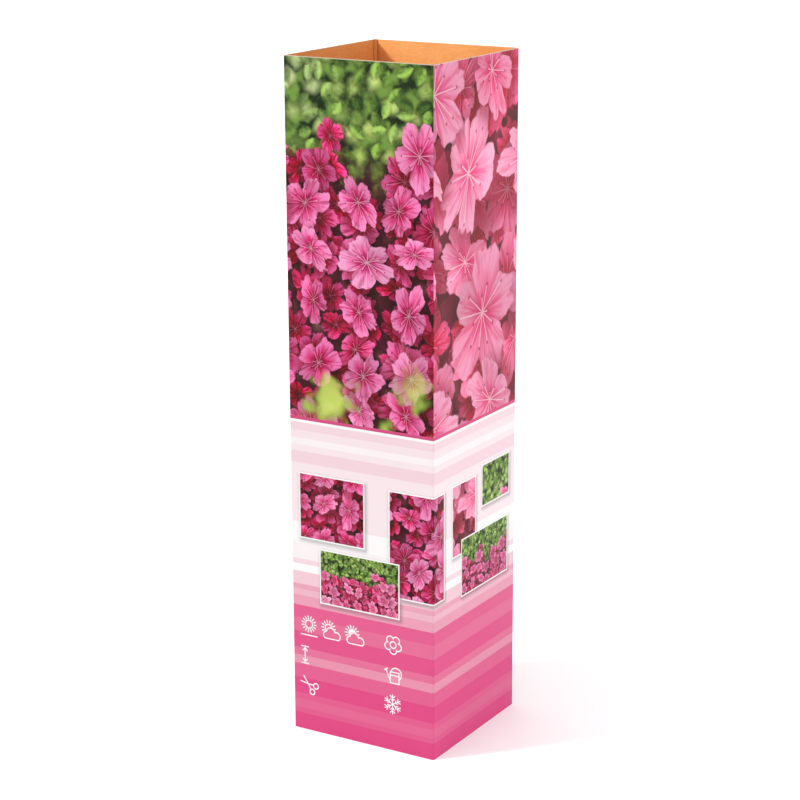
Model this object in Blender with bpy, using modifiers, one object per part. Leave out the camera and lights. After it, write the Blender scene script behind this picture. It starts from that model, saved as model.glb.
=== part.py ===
"""An open-topped plant carton, standing upright.

A tall square tube of printed micro-corrugated board stands on a snap-lock base. The tube is one sheet,
creased into four walls and closed by a glue flap. The base is the sheet's four bottom flaps: the back one
is folded in first, then the two side ones, and last the front one, whose tongue comes up through the
middle and locks over the back flap.

Units are metres, +Z is up, and the origin is at the middle of the footprint, on the floor.
The front wall faces -Y and the right wall faces +X.
"""

import math

import bmesh
import bpy

# ---------------------------------------------------------------------------------------------------
# Driving dimensions
# ---------------------------------------------------------------------------------------------------

SIDE = 0.120  # outside width and depth of the tube
HEIGHT = 0.498  # floor to rim
BOARD = 0.0015  # thickness of the board
CREASE_RADIUS = 0.0015  # outside radius of the four upright creases
CREASE_STEPS = 6  # flats that one wall's half of a crease is made of
GAP = 0.0003  # clearance between neighbouring pieces of board

GLUE_FLAP_WIDTH = 0.015
GLUE_FLAP_LIFT = 0.010  # its lower end, over the floor: it clears the base flaps
GLUE_FLAP_DROP = 0.003  # its upper end, under the rim
GLUE_FLAP_TAPER = 0.005  # how far its two ends slope back over its width

TONGUE_WIDTH = 0.058
TONGUE_REACH = 0.026  # how far the tongue lies over the back flap, past the middle of the base
TONGUE_RAMP = 0.017  # length of floor over which the tongue climbs through the base
TONGUE_CORNER = 0.008  # cut corners of the tongue's tip
SLOT_CLEARANCE = 0.0010  # room beside the tongue and behind it
LEG_REACH = 0.028  # how far the back flap's two legs reach past the middle of the base
FLAP_CORNER = 0.006  # cut corners of the flaps' free edges
FLAP_EASE = 0.0015  # how much a flap is narrower than the wall that it hangs from, at each end

# Levels of the base, counted up from the floor
FRONT_LEVEL = 0
SIDE_LEVEL = 1
BACK_LEVEL = 2
TONGUE_LEVEL = 3

# Colour, roughness and metallic value of each finish
PRINTED_PINK = ((0.80, 0.13, 0.30, 1.0), 0.35, 0.0)
PRINTED_ROSE = ((0.84, 0.22, 0.38, 1.0), 0.35, 0.0)
BARE_KRAFT = ((0.60, 0.29, 0.10, 1.0), 0.85, 0.0)

# Worked out from the dimensions above
HALF = SIDE / 2
INSIDE = HALF - BOARD - GAP  # from the tube's axis to a flap's edge beside a wall
LAYER = BOARD + GAP  # one level of the base
TONGUE_HALF = TONGUE_WIDTH / 2
SLOT_HALF = TONGUE_HALF + SLOT_CLEARANCE


# ---------------------------------------------------------------------------------------------------
# Helpers
# ---------------------------------------------------------------------------------------------------


def clear_scene():
    for leftover in list(bpy.data.objects):
        bpy.data.objects.remove(leftover, do_unlink=True)


def new_collection(name):
    collection = bpy.data.collections.new(name)
    bpy.context.scene.collection.children.link(collection)
    return collection


def new_material(name, finish):
    colour, roughness, metallic = finish
    material = bpy.data.materials.new(name)
    material.use_nodes = True
    shader = material.node_tree.nodes["Principled BSDF"]
    shader.inputs["Base Color"].default_value = colour
    shader.inputs["Roughness"].default_value = roughness
    shader.inputs["Metallic"].default_value = metallic
    return material


def add_piece(name, data, finish, collection):
    """An object of its own, in the carton's collection, with a material of its own."""
    data.materials.append(new_material(name + "_finish", finish))
    piece = bpy.data.objects.new(name, data)
    collection.objects.link(piece)
    return piece


def cut_board(name, outline, thickness):
    """A flat outline, in its own XY plane, with half the thickness on each side of that plane."""
    curve = bpy.data.curves.new(name, type="CURVE")
    curve.dimensions = "2D"
    curve.fill_mode = "BOTH"
    curve.extrude = thickness / 2
    spline = curve.splines.new("POLY")
    spline.points.add(len(outline) - 1)
    for point, (x, y) in zip(spline.points, outline):
        point.co = (x, y, 0.0, 1.0)
    spline.use_cyclic_u = True
    return curve


def mirrored(half_outline):
    """A whole outline, from its half at +X: the same points again, mirrored and in reverse."""
    return half_outline + [(-x, y) for x, y in reversed(half_outline)]


def level_middle(level):
    """The height of the middle of the board that lies at a level of the base."""
    return level * LAYER + BOARD / 2


# ---------------------------------------------------------------------------------------------------
# The four walls
# ---------------------------------------------------------------------------------------------------


def wall_plan():
    """A wall seen from above, its outside at -Y.

    Each end is half of a rounded crease, and is mitred to meet the next wall.
    """
    half_gap = GAP / 2
    crease_end = math.radians(45) - math.asin(half_gap / CREASE_RADIUS)
    centre_x = HALF - CREASE_RADIUS
    centre_y = CREASE_RADIUS - HALF
    right_end = []
    for step in range(CREASE_STEPS + 1):
        angle = crease_end * step / CREASE_STEPS
        x = centre_x + CREASE_RADIUS * math.sin(angle)
        y = centre_y - CREASE_RADIUS * math.cos(angle)
        right_end.append((x, y))
    inner_x = HALF - BOARD - half_gap * math.sqrt(2)
    right_end.append((inner_x, BOARD - HALF))
    return mirrored(right_end)


def add_wall(name, quarter_turns, finish, collection):
    wall = add_piece(name, cut_board(name, wall_plan(), HEIGHT), finish, collection)
    wall.location.z = HEIGHT / 2
    wall.rotation_euler.z = math.radians(90 * quarter_turns)
    return wall


def add_walls(collection):
    add_wall("front_wall", 0, PRINTED_PINK, collection)
    add_wall("right_wall", 1, PRINTED_ROSE, collection)
    add_wall("back_wall", 2, PRINTED_PINK, collection)
    add_wall("left_wall", 3, PRINTED_ROSE, collection)


# ---------------------------------------------------------------------------------------------------
# The glue flap, which runs on from the left wall and is glued to the inside of the front wall
# ---------------------------------------------------------------------------------------------------


def add_glue_flap(collection):
    creased_edge = -INSIDE
    free_edge = creased_edge + GLUE_FLAP_WIDTH
    bottom = GLUE_FLAP_LIFT
    top = HEIGHT - GLUE_FLAP_DROP
    outline = [
        (creased_edge, bottom),
        (free_edge, bottom + GLUE_FLAP_TAPER),
        (free_edge, top - GLUE_FLAP_TAPER),
        (creased_edge, top),
    ]
    flap = add_piece("glue_flap", cut_board("glue_flap", outline, BOARD), BARE_KRAFT, collection)
    flap.rotation_euler.x = math.radians(90)
    flap.location.y = -INSIDE + BOARD / 2
    return flap


# ---------------------------------------------------------------------------------------------------
# The snap-lock base
# ---------------------------------------------------------------------------------------------------


def add_back_flap(collection):
    """The first flap in: two legs with a slot between them for the tongue."""
    outer = INSIDE - FLAP_EASE
    half_outline = [
        (SLOT_HALF, SLOT_CLEARANCE),
        (SLOT_HALF, -LEG_REACH),
        (outer - FLAP_CORNER, -LEG_REACH),
        (outer, -LEG_REACH + FLAP_CORNER),
        (outer, INSIDE),
    ]
    board = cut_board("base_flap_back", mirrored(half_outline), BOARD)
    flap = add_piece("base_flap_back", board, BARE_KRAFT, collection)
    flap.location.z = level_middle(BACK_LEVEL)
    return flap


def add_side_flap(name, side, collection):
    """A side flap, side is -1 on the left and 1 on the right.

    Its back half reaches the middle of the base. Its front half is cut away beside the tongue.
    """
    slope = INSIDE - SLOT_HALF
    front_end = FLAP_EASE - INSIDE
    back_end = INSIDE - FLAP_EASE
    outline = [
        (side * INSIDE, front_end),
        (side * SLOT_HALF, front_end + slope),
        (side * SLOT_HALF, SLOT_CLEARANCE),
        (side * GAP, SLOT_CLEARANCE),
        (side * GAP, back_end - FLAP_CORNER),
        (side * (GAP + FLAP_CORNER), back_end),
        (side * INSIDE, back_end),
    ]
    flap = add_piece(name, cut_board(name, outline, BOARD), BARE_KRAFT, collection)
    flap.location.z = level_middle(SIDE_LEVEL)
    return flap


def front_flap_surface():
    """The middle surface of the front flap: a flat strip, with the tongue drawn out of its free edge."""
    surface = bmesh.new()
    bmesh.ops.create_grid(surface, x_segments=3, y_segments=1, size=1.0)
    columns = [FLAP_EASE - INSIDE, -TONGUE_HALF, TONGUE_HALF, INSIDE - FLAP_EASE]
    crease_line = -INSIDE
    shoulder_line = -TONGUE_RAMP
    surface.verts.ensure_lookup_table()
    for vertex in surface.verts:
        column = round((vertex.co.x + 1.0) * 1.5)
        vertex.co.x = columns[column]
        vertex.co.y = crease_line if vertex.co.y < 0 else shoulder_line

    def free_edge():
        """The edge between the tongue's sides that lies furthest from the crease."""
        across = [
            edge
            for edge in surface.edges
            if all(abs(abs(vertex.co.x) - TONGUE_HALF) < GAP / 2 for vertex in edge.verts)
            and edge.verts[0].co.x * edge.verts[1].co.x < 0
        ]
        return max(across, key=lambda edge: edge.verts[0].co.y)

    climb = level_middle(TONGUE_LEVEL) - level_middle(FRONT_LEVEL)
    for forward, upward in ((TONGUE_RAMP, climb), (TONGUE_REACH - TONGUE_CORNER, 0.0), (TONGUE_CORNER, 0.0)):
        drawn = bmesh.ops.extrude_edge_only(surface, edges=[free_edge()])
        tip = [item for item in drawn["geom"] if isinstance(item, bmesh.types.BMVert)]
        bmesh.ops.translate(surface, verts=tip, vec=(0.0, forward, upward))
    for vertex in tip:
        vertex.co.x -= math.copysign(TONGUE_CORNER, vertex.co.x)
    bmesh.ops.recalc_face_normals(surface, faces=surface.faces)
    return surface


def add_front_flap(collection):
    """The last flap in, which lies on the floor. Its tongue climbs to the top of the base."""
    surface = front_flap_surface()
    mesh = bpy.data.meshes.new("base_flap_front")
    surface.to_mesh(mesh)
    surface.free()
    flap = add_piece("base_flap_front", mesh, BARE_KRAFT, collection)
    flap.location.z = level_middle(FRONT_LEVEL)
    thickness = flap.modifiers.new("thickness", "SOLIDIFY")
    thickness.solidify_mode = "NON_MANIFOLD"
    thickness.nonmanifold_thickness_mode = "CONSTRAINTS"
    thickness.nonmanifold_merge_threshold = 0.00001
    thickness.thickness = BOARD
    thickness.offset = 0.0
    return flap


def add_base(collection):
    add_back_flap(collection)
    add_side_flap("base_flap_left", -1, collection)
    add_side_flap("base_flap_right", 1, collection)
    add_front_flap(collection)


# ---------------------------------------------------------------------------------------------------
# The carton
# ---------------------------------------------------------------------------------------------------


def main():
    clear_scene()
    collection = new_collection("plant_carton")
    add_walls(collection)
    add_glue_flap(collection)
    add_base(collection)


main()
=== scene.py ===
# %% [markdown]
# # An open-topped plant carton
#
# This lesson dresses a plain frame of solids as a finished thing: a tall square carton that a garden shrub
# is sold in. It is one sheet of thin corrugated board, printed on the outside and bare brown inside,
# creased into four walls and folded shut underneath. We model the sheet as it is really made, from an
# outer paper, a wavy middle paper and an inner paper, and we draw its printing with shader nodes.

# %% Load the frame
import math

import bmesh
import bpy
from mathutils import Matrix, Vector


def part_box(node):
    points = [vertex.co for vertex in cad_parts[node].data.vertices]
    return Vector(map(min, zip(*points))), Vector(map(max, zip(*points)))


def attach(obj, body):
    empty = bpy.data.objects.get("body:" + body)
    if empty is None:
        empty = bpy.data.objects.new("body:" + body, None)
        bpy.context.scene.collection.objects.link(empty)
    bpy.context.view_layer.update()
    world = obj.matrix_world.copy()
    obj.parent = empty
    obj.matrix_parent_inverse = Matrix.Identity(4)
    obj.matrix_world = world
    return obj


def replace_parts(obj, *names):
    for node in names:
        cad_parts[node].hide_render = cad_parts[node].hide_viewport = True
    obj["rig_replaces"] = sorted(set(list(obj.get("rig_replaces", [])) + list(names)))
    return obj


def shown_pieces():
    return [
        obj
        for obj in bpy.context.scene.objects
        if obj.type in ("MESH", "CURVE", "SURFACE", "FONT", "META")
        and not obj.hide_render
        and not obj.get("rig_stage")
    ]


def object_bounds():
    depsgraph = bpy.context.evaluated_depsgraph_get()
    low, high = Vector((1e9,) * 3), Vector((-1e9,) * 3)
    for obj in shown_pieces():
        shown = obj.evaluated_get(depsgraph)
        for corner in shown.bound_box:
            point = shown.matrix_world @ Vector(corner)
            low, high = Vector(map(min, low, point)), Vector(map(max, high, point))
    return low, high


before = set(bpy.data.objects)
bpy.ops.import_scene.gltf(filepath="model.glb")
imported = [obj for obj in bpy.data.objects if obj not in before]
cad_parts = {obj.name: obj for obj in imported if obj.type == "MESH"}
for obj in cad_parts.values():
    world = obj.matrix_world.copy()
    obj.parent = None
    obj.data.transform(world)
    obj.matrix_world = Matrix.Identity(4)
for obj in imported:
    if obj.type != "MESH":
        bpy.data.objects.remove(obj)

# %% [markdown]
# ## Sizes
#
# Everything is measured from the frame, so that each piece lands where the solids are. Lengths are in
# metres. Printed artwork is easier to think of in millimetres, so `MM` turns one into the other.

MM = 0.001
CAD_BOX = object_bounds()
front_low, front_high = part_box("front_wall")
HALF = CAD_BOX[1].x
HEIGHT = front_high.z
BOARD = front_high.y - front_low.y
CREASE_RADIUS = BOARD
print("carton:", round(2 * HALF / MM), "mm square,", round(HEIGHT / MM), "mm tall")
print("board:", round(BOARD / MM, 2), "mm thick")

# %% [markdown]
# ## Wiring nodes from code
#
# A node material is a graph. Writing `nodes.new` and `links.new` for each step soon hides the idea, so two
# small classes do the wiring. A `Wire` is what one node puts out, and arithmetic on it adds the Math node
# that does the sum, so a formula reads almost as it does on paper: `half * 0.55 + mottle * 0.55`. On a wire
# that carries a place, the same signs add Vector Math nodes.

# %% A wire, with arithmetic


class Wire:
    """What a node puts out. Each sign used on it adds one node; a comparison puts out 0 or 1."""

    def __init__(self, wires, socket):
        self.wires = wires
        self.socket = socket
        self.is_place = socket.type == "VECTOR"

    def combine(self, operation, first, second=None):
        operands = (first,) if second is None else (first, second)
        add_node = self.wires.vector if self.is_place else self.wires.math
        return add_node(operation, *operands)

    def __add__(self, other):
        return self.combine("ADD", self, other)

    def __radd__(self, other):
        return self.combine("ADD", other, self)

    def __sub__(self, other):
        return self.combine("SUBTRACT", self, other)

    def __rsub__(self, other):
        return self.combine("SUBTRACT", other, self)

    def __mul__(self, other):
        by_a_place = isinstance(other, tuple) or getattr(other, "is_place", False)
        if self.is_place and not by_a_place:
            return self.wires.scaled(self, other)
        return self.combine("MULTIPLY", self, other)

    def __truediv__(self, other):
        return self.combine("DIVIDE", self, other)

    def __rtruediv__(self, other):
        return self.combine("DIVIDE", other, self)

    def __pow__(self, power):
        return self.combine("POWER", self, power)

    def __abs__(self):
        return self.combine("ABSOLUTE", self)

    def __gt__(self, other):
        return self.combine("GREATER_THAN", self, other)

    def __lt__(self, other):
        return self.combine("LESS_THAN", self, other)


print("a wire knows:", [name.strip("_") for name in vars(Wire) if callable(vars(Wire)[name])])

# %% [markdown]
# ## The nodes this lesson needs
#
# The second class, `Nodes`, belongs to one node tree. Each method adds one node, joins what it is given to
# the inputs, and hands back a wire. `Wires` builds on it: its methods are the strokes that this lesson draws
# with, such as a soft step, a mix of two colours, a noise, or the cells of a scatter.
#
# Cycles has room for only a few hundred values at a time, and it likes to work out early whatever it can.
# `after` keeps a long drawing in order: it adds so little of a colour to a place that the place stays the
# same, yet the renderer has to finish that colour first.

# %% Adding and joining nodes


class Nodes:
    """Adds nodes to one tree and joins them up."""

    def __init__(self, tree):
        self.tree = tree

    def add(self, kind, **settings):
        node = self.tree.nodes.new("ShaderNode" + kind)
        node.location = (180 * len(self.tree.nodes), 0)
        for name, value in settings.items():
            setattr(node, name, value)
        return node

    def feed(self, socket, value):
        """Joins a wire to an input, or sets the input to a plain number, place or colour."""
        if isinstance(value, Wire):
            self.tree.links.new(value.socket, socket)
        else:
            socket.default_value = value

    def apply(self, node, inputs, values, output=0):
        """Feeds the values to a node's inputs, by number or name, and gives the wire from one output."""
        for title, value in zip(inputs, values):
            self.feed(node.inputs[title], value)
        return Wire(self, node.outputs[output])

    def read(self, kind, output, **settings):
        """A wire from a node that has nothing to be fed, such as Texture Coordinate."""
        return Wire(self, self.add(kind, **settings).outputs[output])

    def math(self, operation, *values):
        return self.apply(self.add("Math", operation=operation), range(3), values)

    def vector(self, operation, *values):
        output = "Value" if operation in ("LENGTH", "DOT_PRODUCT") else "Vector"
        return self.apply(self.add("VectorMath", operation=operation), range(3), values, output)

    def length(self, place):
        return self.vector("LENGTH", place)

    def scaled(self, place, factor):
        node = self.add("VectorMath", operation="SCALE")
        return self.apply(node, (0, "Scale"), (place, factor))

    def split(self, place):
        node = self.add("SeparateXYZ")
        self.feed(node.inputs[0], place)
        return [Wire(self, output) for output in node.outputs]

    def split_colour(self, colour):
        node = self.add("SeparateColor")
        self.feed(node.inputs[0], colour)
        return [Wire(self, output) for output in node.outputs]

    def join(self, x, y, z=0.0):
        return self.apply(self.add("CombineXYZ"), range(3), (x, y, z))

    def turn(self, place, angle):
        node = self.add("VectorRotate", rotation_type="Z_AXIS")
        return self.apply(node, ("Vector", "Angle"), (place, angle))


print("nodes to add:", [name for name in vars(Nodes) if name[0] != "_"])

# %% The strokes to draw with
TURN = 2 * math.pi
TINY = 1.0e-9


class Wires(Nodes):
    """The steps that a drawing is made of."""

    def bell(self, value, width):
        """1 where the value is 0, falling to 0 on both sides of it."""
        ratio = value / width
        return self.math("EXPONENT", ratio * ratio * -1.0)

    def step(self, value, start, end):
        """A smooth step from 0 at the start to 1 at the end. The end may be the lower of the two."""
        node = self.add("MapRange", interpolation_type="SMOOTHSTEP")
        return self.apply(node, ("Value", "From Min", "From Max"), (value, start, end))

    def spread(self, value, low, high):
        """Takes 0 to 1 onto low to high."""
        node = self.add("MapRange", clamp=False)
        return self.apply(node, ("Value", "To Min", "To Max"), (value, low, high))

    def mix(self, factor, first, second, blend="MIX"):
        """Mixes two colours, on a Mix node's inputs 6 and 7 and its output 2."""
        node = self.add("Mix", data_type="RGBA", blend_type=blend)
        return self.apply(node, (0, 6, 7), (factor, first, second), 2)

    def mix_place(self, factor, first, second):
        """Mixes two places, on a Mix node's inputs 4 and 5 and its output 1."""
        node = self.add("Mix", data_type="VECTOR")
        return self.apply(node, (0, 4, 5), (factor, first, second), 1)

    def dimmed(self, colour, factor):
        """A colour made brighter or darker."""
        grey = self.apply(self.add("CombineColor"), range(3), (factor,) * 3)
        return self.mix(1.0, colour, grey, "MULTIPLY")

    def deepened(self, colour, power):
        """A colour raised to a power, which deepens its darks most."""
        return self.apply(self.add("Gamma"), ("Color", "Gamma"), (colour, power))

    def noise(self, place, scale, detail=2.0, flat=True):
        node = self.add("TexNoise", noise_dimensions="2D" if flat else "3D")
        return self.apply(node, ("Vector", "Scale", "Detail"), (place, scale, detail), "Fac")

    def wobbled(self, place, scale, amount):
        """The same place, pushed to and fro by a noise."""
        node = self.add("TexNoise", noise_dimensions="2D")
        colour = self.apply(node, ("Vector", "Scale", "Detail"), (place, scale, 1.0), "Color")
        red, green, _ = self.split_colour(colour)
        return place + self.join(red - 0.5, green - 0.5) * amount

    def cells(self, place, feature, scatter):
        """The nearest cell, F1, or the next one, F2: its middle and three random numbers of its own."""
        node = self.add("TexVoronoi", voronoi_dimensions="2D", feature=feature)
        colour = self.apply(node, ("Vector", "Scale", "Randomness"), (place, 1.0, scatter), "Color")
        return Wire(self, node.outputs["Position"]), self.join(*self.split_colour(colour))

    def chance(self, value):
        """A random number from 0 to 1 that stays the same for the same value."""
        return self.apply(self.add("TexWhiteNoise", noise_dimensions="1D"), ("W",), (value,))

    def after(self, colour, place):
        """The same place, but not worked out until the colour is."""
        red, _, _ = self.split_colour(colour)
        return place + self.join(red * TINY, 0.0)

    def use(self, tree, **values):
        """Places a node group and gives its outputs by name. A socket's name may have _ for a space."""
        node = self.add("Group", node_tree=tree)
        for name, value in values.items():
            self.feed(node.inputs[name.replace("_", " ")], value)
        return {output.name: Wire(self, output) for output in node.outputs}

    def emboss(self, surface, height, depth, strength):
        """Gives a shader the bumps of a height that is so many metres deep."""
        node = self.add("Bump")
        normal = self.apply(node, ("Distance", "Strength", "Height"), (depth, strength, height))
        self.feed(surface.inputs["Normal"], normal)


print("strokes:", [name for name in vars(Wires) if name[0] != "_"])

# %% [markdown]
# ## Node groups and printed colours
#
# A drawing that is used in several places goes into a node group, which is built once. Its inputs are listed
# with their usual values, and the kind of each socket follows from its value: a number, a place of three
# numbers or a colour of four. Colours are given as a designer writes them, and `ink` makes them linear.

# %% Helpers for groups and colours
SOCKETS = {"float": "NodeSocketFloat", "place": "NodeSocketVector", "colour": "NodeSocketColor"}


def kind_of(value):
    if isinstance(value, (int, float)):
        return "float"
    return "place" if len(value) == 3 else "colour"


def new_group(name, inputs, outputs):
    """A node group: its wires, its inputs by name, and a function that is given what it puts out."""
    tree = bpy.data.node_groups.new(name, "ShaderNodeTree")
    for title, value in inputs.items():
        socket = tree.interface.new_socket(title, in_out="INPUT", socket_type=SOCKETS[kind_of(value)])
        socket.default_value = value
    for title, kind in outputs.items():
        tree.interface.new_socket(title, in_out="OUTPUT", socket_type=SOCKETS[kind])
    wires = Wires(tree)
    entry = tree.nodes.new("NodeGroupInput")
    leave = tree.nodes.new("NodeGroupOutput")
    given = {title: Wire(wires, entry.outputs[title]) for title in inputs}

    def put_out(**results):
        for title, value in results.items():
            wires.feed(leave.inputs[title], value)
        leave.location = (180 * len(tree.nodes), 0)

    return wires, given, put_out


def ink(red, green, blue):
    """A printed colour, given as a designer's 0 to 255 values, as the shader wants it."""

    def straight(level):
        level = level / 255
        return level / 12.92 if level <= 0.04045 else ((level + 0.055) / 1.055) ** 2.4

    return (straight(red), straight(green), straight(blue), 1.0)


print("a middle grey, as the shader wants it:", [round(part, 3) for part in ink(128, 128, 128)])

# %% [markdown]
# ## One blossom
#
# The upper half of the carton is covered with blossoms. Each is drawn by a formula in polar coordinates:
# the angle says which of five petals we are in and how far across it, and the distance from the middle,
# divided by that petal's reach at that angle, says how far along it. Colour, folds, veins and the shadow
# of one petal on the next all follow from those two numbers. The threads that stand out of the middle are
# thinner wedges of the same circle, each with its own length and a dark tip.

# %% Wedges of a circle, and the threads
PETALS = 5
THREADS = 11
THREAD_COLOUR = ink(253, 206, 222)
TIP_COLOUR = ink(140, 44, 66)


def around(wires, radius_vector, turns, count):
    """Cuts a circle into equal wedges: how far across its wedge a point is, and the wedge's number."""
    x, y, _ = wires.split(radius_vector)
    turn = wires.math("ARCTAN2", y, x) / TURN
    wedges = (turn + turns) * count
    number = wires.math("FLOOR", wires.math("FLOORED_MODULO", wedges, count))
    return wires.math("FRACT", wedges + 100.0 * count), number


def add_threads(wires, flat, radius, spin, tone, colour):
    """Lays the threads and their tips on a blossom's colour."""
    thread, which = around(wires, flat, spin, THREADS)
    luck = wires.chance(which + tone * 13.0)
    reach_out = wires.spread(luck, 0.16, 0.74)
    swerve = (wires.math("FRACT", luck * 9.0) - 0.5) * 0.6
    across = abs(thread - 0.5 - swerve) * radius * (TURN / THREADS)
    stalk = wires.step(across, 0.015, 0.004) * wires.step(radius, reach_out, reach_out - 0.03)
    colour = wires.mix(stalk * 0.6, colour, THREAD_COLOUR)
    past = radius - reach_out
    tip = wires.step(wires.length(wires.join(past, across)), 0.034, 0.018)
    return wires.mix(tip * 0.85, colour, TIP_COLOUR)


print("a blossom has", PETALS, "petals and", THREADS, "threads")

# %% [markdown]
# ## The blossom's group
#
# The group draws a blossom of radius 1 round its origin, so the caller chooses its size, and a random colour
# makes each one lean, open and fold differently. Besides the colour it puts out a mask of where the blossom
# is and the soft shadow that it throws on what lies below.

# %% The blossom group
BLOSSOM_COLOURS = {
    "Rim Colour": ink(247, 176, 208),
    "Petal Colour": ink(236, 104, 162),
    "Throat Colour": ink(198, 30, 96),
}
MOTIF_OUTPUTS = {"Colour": "colour", "Mask": "float", "Shadow": "float"}


def motif_inputs(softness):
    """What every motif is given: a place from its middle, its random numbers and how soft its edge is."""
    return {"Offset": (0.0, 0.0, 0.0), "Random": (0.5, 0.5, 0.5), "Softness": softness}


def make_blossom():
    wires, given, put_out = new_group("Blossom", motif_inputs(0.03) | BLOSSOM_COLOURS, MOTIF_OUTPUTS)
    lean, spin, tone = wires.split(given["Random"])
    leaning = wires.turn(given["Offset"], lean * TURN)
    squeeze = wires.join(wires.spread(spin, 1.0, 1.8), 1.0)
    flat = leaning * squeeze
    radius = wires.length(flat)

    petal, number = around(wires, flat, spin, PETALS)
    side = petal - 0.5
    own = wires.chance(number + lean * 57.0)
    shift = wires.join(tone * 31.0, lean * 17.0)
    ruffle = wires.noise(flat + shift, 2.6, 2.0)

    pinch = abs(side * 2.0) ** 2.3
    reach = wires.spread(own, 0.8, 1.0) * (1.0 - pinch * 0.36)
    reach = reach - wires.bell(side, 0.05) * 0.05 + (ruffle - 0.5) * 0.44
    along = radius / reach
    soft = given["Softness"]
    mask = wires.step(along, 1.0 + soft, 1.0 - soft)

    other = number * 9.0 + tone * 57.0
    fold_place = wires.join(side * 5.0 + other, along * 1.1)
    folds = wires.noise(fold_place, 1.6, 2.0)
    fine_place = wires.join(side * 26.0 + other, along * 1.6)
    veins = wires.noise(fine_place, 1.2, 1.0)
    colour = wires.mix(wires.step(along, 0.25, 0.98), given["Petal Colour"], given["Rim Colour"])
    colour = wires.mix(wires.step(folds, 0.48, 0.72) * 0.75, colour, given["Rim Colour"])
    colour = wires.mix(wires.step(along, 0.52, 0.06), colour, given["Throat Colour"])
    overlap = wires.step(petal, 0.24, 0.0) * wires.step(along, 0.1, 0.45) * 0.62
    crease = wires.bell(side, 0.035) * wires.step(along, 0.98, 0.2) * 0.35
    valley = wires.step(folds, 0.5, 0.28) * 0.55
    lines = wires.step(veins, 0.5, 0.3) * 0.22
    for amount in (overlap, crease, valley, lines):
        colour = wires.mix(amount, colour, given["Throat Colour"])
    colour = wires.dimmed(colour, wires.spread(own, 0.80, 1.12))
    colour = add_threads(wires, flat, radius, spin, tone, colour)

    fallen = wires.length(given["Offset"] + (-0.1, 0.14, 0.0))
    shadow = wires.step(fallen, 1.14, 0.62) * 0.85
    put_out(Colour=colour, Mask=mask, Shadow=shadow)
    return wires.tree


blossom = make_blossom()
print("blossom group:", len(blossom.nodes), "nodes")

# %% [markdown]
# ## One leaf
#
# A leaf is simpler: along its own axis it swells and comes to a point, and how far we are across it,
# against that width, gives the rib, the veins and a light half and a dark half. A wide softness turns the
# same leaf into one that is out of focus: its outline fades, its halves melt into each other, and its veins
# grow faint.

# %% The leaf group
LEAF_COLOURS = {"Light Colour": ink(150, 196, 98), "Dark Colour": ink(46, 92, 34)}


def make_leaf():
    wires, given, put_out = new_group("Leaf", motif_inputs(0.05) | LEAF_COLOURS, MOTIF_OUTPUTS)
    lean, tone, width = wires.split(given["Random"])
    flat = wires.turn(given["Offset"], lean * TURN)
    x, y, _ = wires.split(flat)
    y = y + x * x * wires.spread(tone, -0.25, 0.25)
    tapering = 1.0 - abs(x) ** 1.7
    half_width = wires.math("MAXIMUM", tapering, 0.001) * wires.spread(width, 0.32, 0.52)
    across = y / half_width
    away = abs(across)
    soft = given["Softness"]
    inside = wires.step(away, 1.0 + soft, 1.0 - soft)
    mask = inside * wires.step(abs(x), 1.0, 0.98 - soft)

    streaks = wires.math("SINE", x * 26.0 - away * 7.0)
    rib = wires.bell(across, 0.09)
    blur = 0.12 + soft
    half = wires.spread(wires.step(across, blur * -1.0, blur), 0.25, 0.80)
    mottle = wires.noise(flat + wires.join(tone * 23.0, 0.0), 3.0)
    light = half * 0.55 + mottle * 0.55
    marks = (streaks + rib * 4.0) * 0.045
    light = (light + marks / (1.0 + soft * 6.0)) * wires.spread(tone, 0.45, 1.35)
    colour = wires.mix(wires.step(light, 0.05, 1.0), given["Dark Colour"], given["Light Colour"])
    fallen = wires.length(flat * (0.95, 1.9, 0.0))
    put_out(Colour=colour, Mask=mask, Shadow=wires.step(fallen, 1.15, 0.5) * 0.5)
    return wires.tree


leaf = make_leaf()
print("leaf group:", len(leaf.nodes), "nodes")

# %% [markdown]
# ## A layer of either
#
# One way to scatter motifs is to give each cell of a Voronoi texture its own copy. A cell cuts off any motif
# that is wider than it. For the layers underneath that does no harm, since the borders are made wavy, and a
# cut motif just ends in a ruffled rim. In the top layer each point looks at two cells, the nearest and the
# next, and paints the one with the lower number first. Both sides of a border then agree on which lies on
# top, and the border vanishes.
#
# The layer takes the colour under it and returns it with its motifs and their shadows laid on, so layers
# stack like glazes. Each motif has its own size and brightness, and a slow noise makes whole parts of the
# bush deeper or paler. Motifs grow only where that noise and a level line let them, and that is asked at the
# motif's middle, so none is ever cut through.

# %% The layer's settings, and which of two cells lies on top
SHADE = ink(178, 74, 110)
BORDER_WAVES = 4.0
BORDER_SWAY = 0.34
LAYER_INPUTS = {
    "Place": (0.0, 0.0, 0.0),
    "Under": (0.5, 0.5, 0.5, 1.0),
    "Seed": (0.0, 0.0, 0.0),
    "Spacing": 25.0,
    "Level": 0.0,
    "Wander": 0.0,
    "Thinning": 0.0,
    "Softness": 0.03,
    "Depth": 1.0,
}


def in_order(wires, near, later):
    """Puts two cells, each a middle and its random numbers, in the order in which they are painted."""
    near_rank, _, _ = wires.split(near[1])
    later_rank, _, _ = wires.split(later[1])
    later_on_top = near_rank < later_rank
    lower = [wires.mix_place(later_on_top, last, first) for first, last in zip(near, later)]
    upper = [wires.mix_place(later_on_top, first, last) for first, last in zip(near, later)]
    return [lower, upper]


print("a layer has", len(LAYER_INPUTS), "inputs besides its motif's colours")

# %% The layer group


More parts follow.
